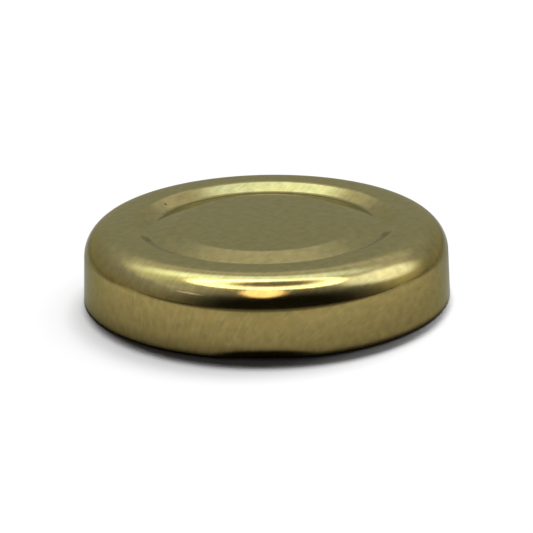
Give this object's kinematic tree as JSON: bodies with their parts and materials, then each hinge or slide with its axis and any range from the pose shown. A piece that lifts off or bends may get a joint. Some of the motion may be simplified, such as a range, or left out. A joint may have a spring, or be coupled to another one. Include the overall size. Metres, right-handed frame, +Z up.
{
  "type": "twist off jar lid",
  "caption": "Gold-lacquered tinplate twist off lid with pressed lugs, a stepped top with a flexing centre panel, and a bonded sealing ring for a glass jar.",
  "frame": {"origin": "on the lid's axis, at the surface that its rolled lower edge stands on", "axes": "+Z up along the lid's axis, out of its closed top; -Y points at the middle of one lug"},
  "size_m": [0.0464, 0.0463, 0.0095],
  "materials": {
    "tinplate": "transparent gold lacquer over rolled tinplate, glossy, with fine rolling grain",
    "plastisol": "off-white cured plastisol, satin"
  },
  "bodies": {
    "root": {"lid_shell": "tinplate", "sealing_gasket": "plastisol"}
  },
  "joints": []
}
